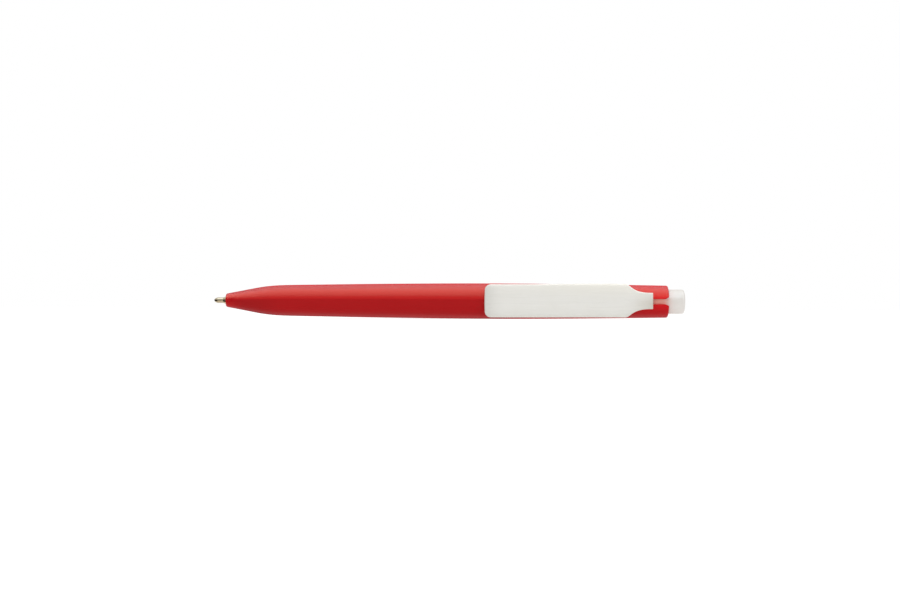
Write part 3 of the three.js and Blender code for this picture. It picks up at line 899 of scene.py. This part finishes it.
# Point and ball
pointSize = {
    "ballRadius": 0.5, "socketRadius": 0.54, "lipAngle": 20, "lipWall": 0.06,
    "tipConeLength": 0.68, "tipRadius": 0.83, "tipLength": 1.66, "shoulderLength": 1.15,
    "radius": 1.25, "barbAt": 7.25, "barbRadius": 1.0, "barbEndAt": 12.3, "channelRadius": 0.35,
    "turnedEdge": 0.25,
    "stepEdge": (0.06, 3),  # radius and steps
    "barbEdge": (0.15, 4), "socketSteps": 12, "sides": 96, "ballSteps": 32, "ballSides": 64,
}


def makePoint():
    s = SimpleNamespace(**pointSize)
    lip = math.radians(s.lipAngle)
    socket, radius = s.socketRadius, s.ballRadius
    lipAt, lipRadius = radius - socket * math.sin(lip), socket * math.cos(lip)
    coneAt = lipAt + s.tipConeLength
    tipAt = coneAt + s.tipLength
    line = rounded([
        (lipAt, lipRadius), (lipAt, lipRadius + s.lipWall),
        (coneAt, s.tipRadius, s.turnedEdge), (tipAt, s.tipRadius, s.turnedEdge),
        (tipAt + s.shoulderLength, s.radius, s.turnedEdge), (s.barbAt, s.radius, *s.stepEdge),
        (s.barbAt, s.barbRadius), (s.barbEndAt, s.barbRadius, *s.barbEdge),
        (s.barbEndAt, s.channelRadius),
    ])
    bottom = math.acos(s.channelRadius / socket)
    for i in range(s.socketSteps + 1):
        angle = bottom + (-lip - bottom) * i / s.socketSteps
        line.append((radius + socket * math.sin(angle), socket * math.cos(angle)))
    body = turned("pointHolder", line, s.sides, "nickelSilver")
    finishPiece(body, "nickelSilver", "refill", "point_holder")
    angles = [math.pi * i / s.ballSteps for i in range(s.ballSteps + 1)]
    line = [(radius - radius * math.cos(angle), radius * math.sin(angle)) for angle in angles]
    ball = turned("writingBall", line, s.ballSides, "carbide")
    finishPiece(ball, "carbide", "ball", "writing_ball")
    return body, ball


metals = makePoint()
print("point and ball made")


# What is inside
refillSize = {
    "tubeFrontAt": 7.3, "tubeEndAt": 106.8, "tubeRadius": 1.55, "tubeBore": 1.05,
    "earsAt": 33.05, "earLength": 1.2, "earReach": 2.3, "earHalfWidth": 0.45,
    "inkAt": 12.35, "inkEndAt": 77.35, "followerAt": 77.4, "followerEndAt": 83.4,
    "fitGap": 0.05, "meniscus": 0.35, "meniscusSteps": 6, "sides": 64,
    "tubeEdge": (0.1, 3), "earEdge": 0.15,  # radius and steps
}
springSize = {
    "Start": 12.05, "Length": 21.0, "Turns": 11, "Coil Radius": 1.975, "Wire": 0.35,
    "Closed Pitch": 0.55, "Steps Per Turn": 40, "Wire Sides": 12,
}
ratchetSize = {
    "sleeveFrontAt": 103.4, "sleeveBackAt": 115.3, "sleeveRadius": 3.7, "sleeveBore": 3.1,
    "ribRadius": 2.4, "ribFrontAt": 108.6, "ribAngle": 36,
    "rotorFrontAt": 103.5, "rotorBackAt": 108.3, "rotorTipAt": 109.2, "rotorRadius": 2.2,
    "cupRadius": 1.65, "cupFloorAt": 107.1, "stemBore": 1.3,
    "finFrontAt": 105.9, "finRadius": 3.0, "finAngle": 30, "fins": 4, "sides": 96,
}


def makeRefill():
    s = SimpleNamespace(**refillSize)
    start = (s.tubeFrontAt, s.tubeBore)
    tubeLine = rounded([
        start, (s.tubeFrontAt, s.tubeRadius, *s.tubeEdge),
        (s.tubeEndAt, s.tubeRadius, *s.tubeEdge), (s.tubeEndAt, s.tubeBore), start,
    ])
    tube = turned("refillTube", tubeLine, s.sides, "clear")
    middle = (s.tubeRadius + s.tubeBore) / 2
    for side in (1, -1):
        low, high = sorted((side * middle, side * s.earReach))
        ear = block("ear", (s.earsAt, low, -s.earHalfWidth),
                    (s.earsAt + s.earLength, high, s.earHalfWidth), s.earEdge)
        combine(tube, ear, "UNION")
    finishPiece(tube, "clear", "refill", "refill_tube")
    radius = s.tubeBore - s.fitGap
    shares = [1 - i / s.meniscusSteps for i in range(1, s.meniscusSteps + 1)]

    def bowed(at):
        # the surface of a fill from the tube's wall to the axis
        return [(at - s.meniscus * (1 - share ** 2), radius * share) for share in shares]

    inkLine = [(s.inkAt, 0), (s.inkAt, radius), (s.inkEndAt, radius)] + bowed(s.inkEndAt)
    ink = turned("inkColumn", inkLine, s.sides, "ink")
    finishPiece(ink, "ink", "refill", "ink_column")
    greaseLine = bowed(s.followerAt)[::-1] + [(s.followerAt, radius), (s.followerEndAt, radius)]
    grease = turned("inkFollower", greaseLine + bowed(s.followerEndAt), s.sides, "grease")
    finishPiece(grease, "grease", "refill", "ink_follower")


def makeSpring():
    start = outlineObject("returnSpring", [(0, 0), (1, 0)])
    spring = runTree(start, trees["coil"], {**springSize, "Material": finishes["springSteel"]})
    finishPiece(spring, "springSteel", "", "return_spring")
    start = toFrame @ Vector((springSize["Start"], 0, 0))
    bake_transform(spring)


def makeRatchet():
    s = SimpleNamespace(**ratchetSize)
    front, back = s.sleeveFrontAt, s.sleeveBackAt
    sleeveLine = [(front, s.sleeveBore), (front, s.sleeveRadius), (back, s.sleeveRadius),
                  (back, s.sleeveBore), (front, s.sleeveBore)]
    sleeve = turned("camSleeve", sleeveLine, s.sides, "nylon")
    root = (s.sleeveBore + s.sleeveRadius) / 2
    rib = sectorTool(s.ribRadius, root, s.ribAngle, s.ribFrontAt, back)
    repeated(sleeve, "join", rib, s.fins, 0.5, "nylon")
    finishPiece(sleeve, "nylon", "barrel", "cam_sleeve")
    rotorLine = [
        (s.cupFloorAt, 0), (s.cupFloorAt, s.cupRadius), (s.rotorFrontAt, s.cupRadius),
        (s.rotorFrontAt, s.rotorRadius), (s.rotorTipAt, s.rotorRadius),
        (s.rotorTipAt, s.stemBore), (s.rotorBackAt, s.stemBore), (s.rotorBackAt, 0),
    ]
    rotor = turned("ratchetRotor", rotorLine, s.sides, "nylon")
    root = (s.cupRadius + s.rotorRadius) / 2
    fin = sectorTool(root, s.finRadius, s.finAngle, s.finFrontAt, s.rotorBackAt)
    repeated(rotor, "join", fin, s.fins, 0.0, "nylon")
    notch = notchTool(s.rotorTipAt, 1, s.rotorRadius)
    repeated(rotor, "cut", notch, toothSize["count"], 0.0, "nylon")
    finishPiece(rotor, "nylon", "rotor", "ratchet_rotor")


makeRefill()
makeSpring()
makeRatchet()
print("inner pieces made")


# Floor, world, lamps, camera
stageLook = {
    "floorRadius": 0.55, "floorSides": 96,
    "floorHeight": -0.00008,  # a hair low, so that it doesn't cut the belly
    "floorColour": (0.55, 0.55, 0.55), "floorRoughness": 0.9, "floorSpecular": 0.1,
    "floorGlow": 0.47,
    "floorSeenGlow": 0.13,  # more of it where the floor is seen directly or in a reflection
    "ambient": 0.65,
}


def litMore(tree, strength, more):
    # a strength, with more of it where the camera, a reflection or a see-through surface sees it
    path = tree.nodes.new("ShaderNodeLightPath").outputs
    seen = calc(tree, "MAXIMUM", path["Is Camera Ray"], path["Is Glossy Ray"])
    seen = calc(tree, "MAXIMUM", seen, path["Is Transmission Ray"])
    return calc(tree, "ADD", calc(tree, "MULTIPLY", seen, more), strength)


def makeStage():
    s = SimpleNamespace(**stageLook)
    bm = bmesh.new()
    bmesh.ops.create_circle(bm, cap_ends=True, segments=s.floorSides, radius=s.floorRadius)
    floor = fromBmesh("floor", bm)
    floor.location.z = s.floorHeight
    material, tree, shader = newMaterial("paleFloor")
    setInputs(tree, shader, {
        "Base Color": s.floorColour, "Roughness": s.floorRoughness,
        "Specular IOR Level": s.floorSpecular, "Emission Color": (1, 1, 1),
        "Emission Strength": litMore(tree, s.floorGlow, s.floorSeenGlow),
    })
    floor.data.materials.append(material)
    world = bpy.data.worlds.new("studio")
    bpy.context.scene.world = world
    world.use_nodes = True
    tree = world.node_tree
    setInputs(tree, tree.nodes["Background"], {
        "Color": (1, 1, 1), "Strength": litMore(tree, s.ambient, 1 - s.ambient)})


def panel(name, centre, width, depth, radiance, colour, glossy=False, receivers=None):
    # a soft lamp facing down: either light alone or a reflection alone, for all or for some pieces
    lamp = bpy.data.lights.new(name, "AREA")
    lamp.shape = "RECTANGLE"
    lamp.size, lamp.size_y = width, depth
    lamp.energy = radiance * math.pi * width * depth
    lamp.color = colour
    obj = newObject(name, lamp)
    obj.location = centre
    obj.visible_camera = False
    obj.visible_diffuse = not glossy
    obj.visible_glossy = glossy
    if receivers:
        obj.light_linking.receiver_collection = receivers
    return obj


# bands of lamps overhead, one kind above the other; edges are elevations in degrees, counted
# from the camera's side
evenEdges = (31, 39, 48, 58, 69, 81, 94, 107, 121, 137)
panels = {
    "light": {
        "height": 0.42, "width": 0.9, "colour": (1, 1, 1),
        "edges": evenEdges,
        "radiance": (0.2, 0.25, 0.35, 0.45, 0.6, 0.7, 0.65, 0.5, 0.3),
    },
    "rimLight": {
        "height": 0.425, "width": 0.9, "colour": (1, 1, 1),
        "edges": (115, 132, 150),
        "radiance": (4.0, 4.0),
    },
    "plasticGloss": {
        "height": 0.43, "width": 1.2, "colour": (1, 1, 1),
        "edges": evenEdges,
        "radiance": (3.7, 5.1, 6.1, 6.6, 6.8, 5.8, 3.5, 1.6, 0.5),
    },
    "redGloss": {
        "height": 0.12, "width": 1.2, "colour": (1, 0.3, 0.3),
        "edges": (12, 20, 31),
        "radiance": (2.6, 3.6),
    },
    "metalGloss": {
        "height": 0.44, "width": 0.9, "colour": (0.56, 0.73, 1.0),
        "edges": evenEdges[:9],
        "radiance": (0.6, 1.2, 1.7, 2.0, 2.0, 1.7, 0.9, 0.3),
    },
}


def linked(name, pieces):
    group = bpy.data.collections.new(name)
    for piece in pieces:
        group.objects.link(piece)
    return group


def makeLamps():
    groups = {
        "light": None,
        "rimLight": linked("barrelPiece", [barrel]),
        "plasticGloss": linked("plastics", [barrel, clip, button]),
        "redGloss": linked("redPiece", [barrel]),
        "metalGloss": linked("metals", metals),
    }
    for kind, bands in panels.items():
        height = bands["height"]
        rows = [-height / math.tan(math.radians(edge)) for edge in bands["edges"]]
        for i, radiance in enumerate(bands["radiance"]):
            panel(f"{kind}{i}", (0, (rows[i] + rows[i + 1]) / 2, height), bands["width"],
                  rows[i + 1] - rows[i], radiance, bands["colour"], "Gloss" in kind, groups[kind])


def flatCard(name, first, last, material):
    # an upright or level face, unseen by the camera, between two corners in millimetres
    upright = first[2] != last[2]
    second = (last[0], last[1] if upright else first[1], first[2])
    fourth = (first[0], first[1] if upright else last[1], last[2])
    corners = [toFrame @ Vector(corner) for corner in (first, second, last, fourth)]
    mesh = bpy.data.meshes.new(name)
    mesh.from_pydata(corners, [], [(0, 1, 2, 3)])
    mesh.materials.append(material)
    card = newObject(name, mesh)
    card.visible_camera = False
    return card


# dark cards close to the tip, seen only in reflections, that give the metal its dark lines
cards = {
    "frontCard": ((-1.6, -8, -0.16), (2.5, -8, 4.1)),
    "nearCard": ((-20, -30, -3), (-8.1, -30, 3)),
    "sideCard": ((-25, -37.2, -4.7), (-42.8, 7, 17)),
    "overCard": ((-13.6, -10, 20), (-11.4, 10, 20)),
    "backCard": ((-42.8, 7, -4.7), (-30, 30, 10.4)),
    # the two cards lying on the floor are a painted shadow: dark sheets where the pen's shadow
    # falls round the tip, seen in the metal
    "floorCard": ((-30, -20, -5.2), (-0.8, -2.5, -5.2)),
    "farFloorCard": ((-30, -2.5, -5.2), (-8, 14, -5.2)),
}
cardLook = {"Base Color": (0.01, 0.01, 0.01), "Roughness": 1, "Specular IOR Level": 0}


def makeCards():
    material, tree, shader = newMaterial("darkCard")
    setInputs(tree, shader, cardLook)
    for name, (first, last) in cards.items():
        card = flatCard(name, first, last, material)
        card.visible_diffuse = card.visible_shadow = False
        card.visible_transmission = card.visible_volume_scatter = False


# the red plastic lends its slot a red cast: it glows a little there, and a gel over the slot
# reddens the daylight that falls in; both reach the push button alone and neither is seen
slotGlow = {
    "fromAt": 131.3, "toAt": 135.0, "height": 4.15, "reach": 0.75, "depth": 0.85,
    "radiance": 0.5, "colour": (1.0, 0.16, 0.12),
}
slotGel = {
    "fromAt": 130.6, "toAt": 136.1, "height": 4.62, "halfWidth": 0.8,
    "colour": (0.80, 0.54, 0.46),
}


def makeSlotCast():
    s = SimpleNamespace(**slotGlow)
    group = linked("slotPiece", [button])
    for side in (1, -1):
        centre = toFrame @ Vector(((s.fromAt + s.toAt) / 2, -s.height, side * s.reach))
        lamp = panel(f"slotGlow{side + 1}", centre, (s.toAt - s.fromAt) * mm, s.depth * mm,
                     s.radiance, s.colour, receivers=group)
        if side < 0:
            lamp.rotation_euler.x = math.pi
    g = SimpleNamespace(**slotGel)
    material, tree, shader = newMaterial("slotGel")
    tree.nodes.remove(shader)
    gel = made(tree, "ShaderNodeBsdfTransparent", {"Color": g.colour})
    setInputs(tree, tree.nodes["Material Output"], {"Surface": gel})
    low, high = (g.fromAt, -g.height, -g.halfWidth), (g.toAt, -g.height, g.halfWidth)
    flatCard("slotGel", low, high, material).visible_glossy = False


cameraView = {
    "distance": 0.47, "frameWidth": 0.26996, "right": 0.00017, "up": 0.00028, "roll": 0.2,
    "sensorWidth": 36, "clip": (0.01, 10),
}


def makeCamera():
    s = SimpleNamespace(**cameraView)
    data = bpy.data.cameras.new("camera")
    data.sensor_width = s.sensorWidth
    data.lens = s.sensorWidth * s.distance / s.frameWidth
    data.clip_start, data.clip_end = s.clip
    camera = newObject("camera", data)
    turn = Matrix.Rotation(math.radians(90), 4, "X")
    turn = turn @ Matrix.Rotation(math.radians(s.roll), 4, "Z")
    place = Matrix.Translation((s.right, axisY - s.distance, axisZ + s.up))
    camera.matrix_world = place @ turn
    bpy.context.scene.camera = camera


makeStage()
makeLamps()
makeSlotCast()
makeCards()
makeCamera()
bpy.context.scene.view_settings.view_transform = "Standard"
print("stage, lamps and camera made")
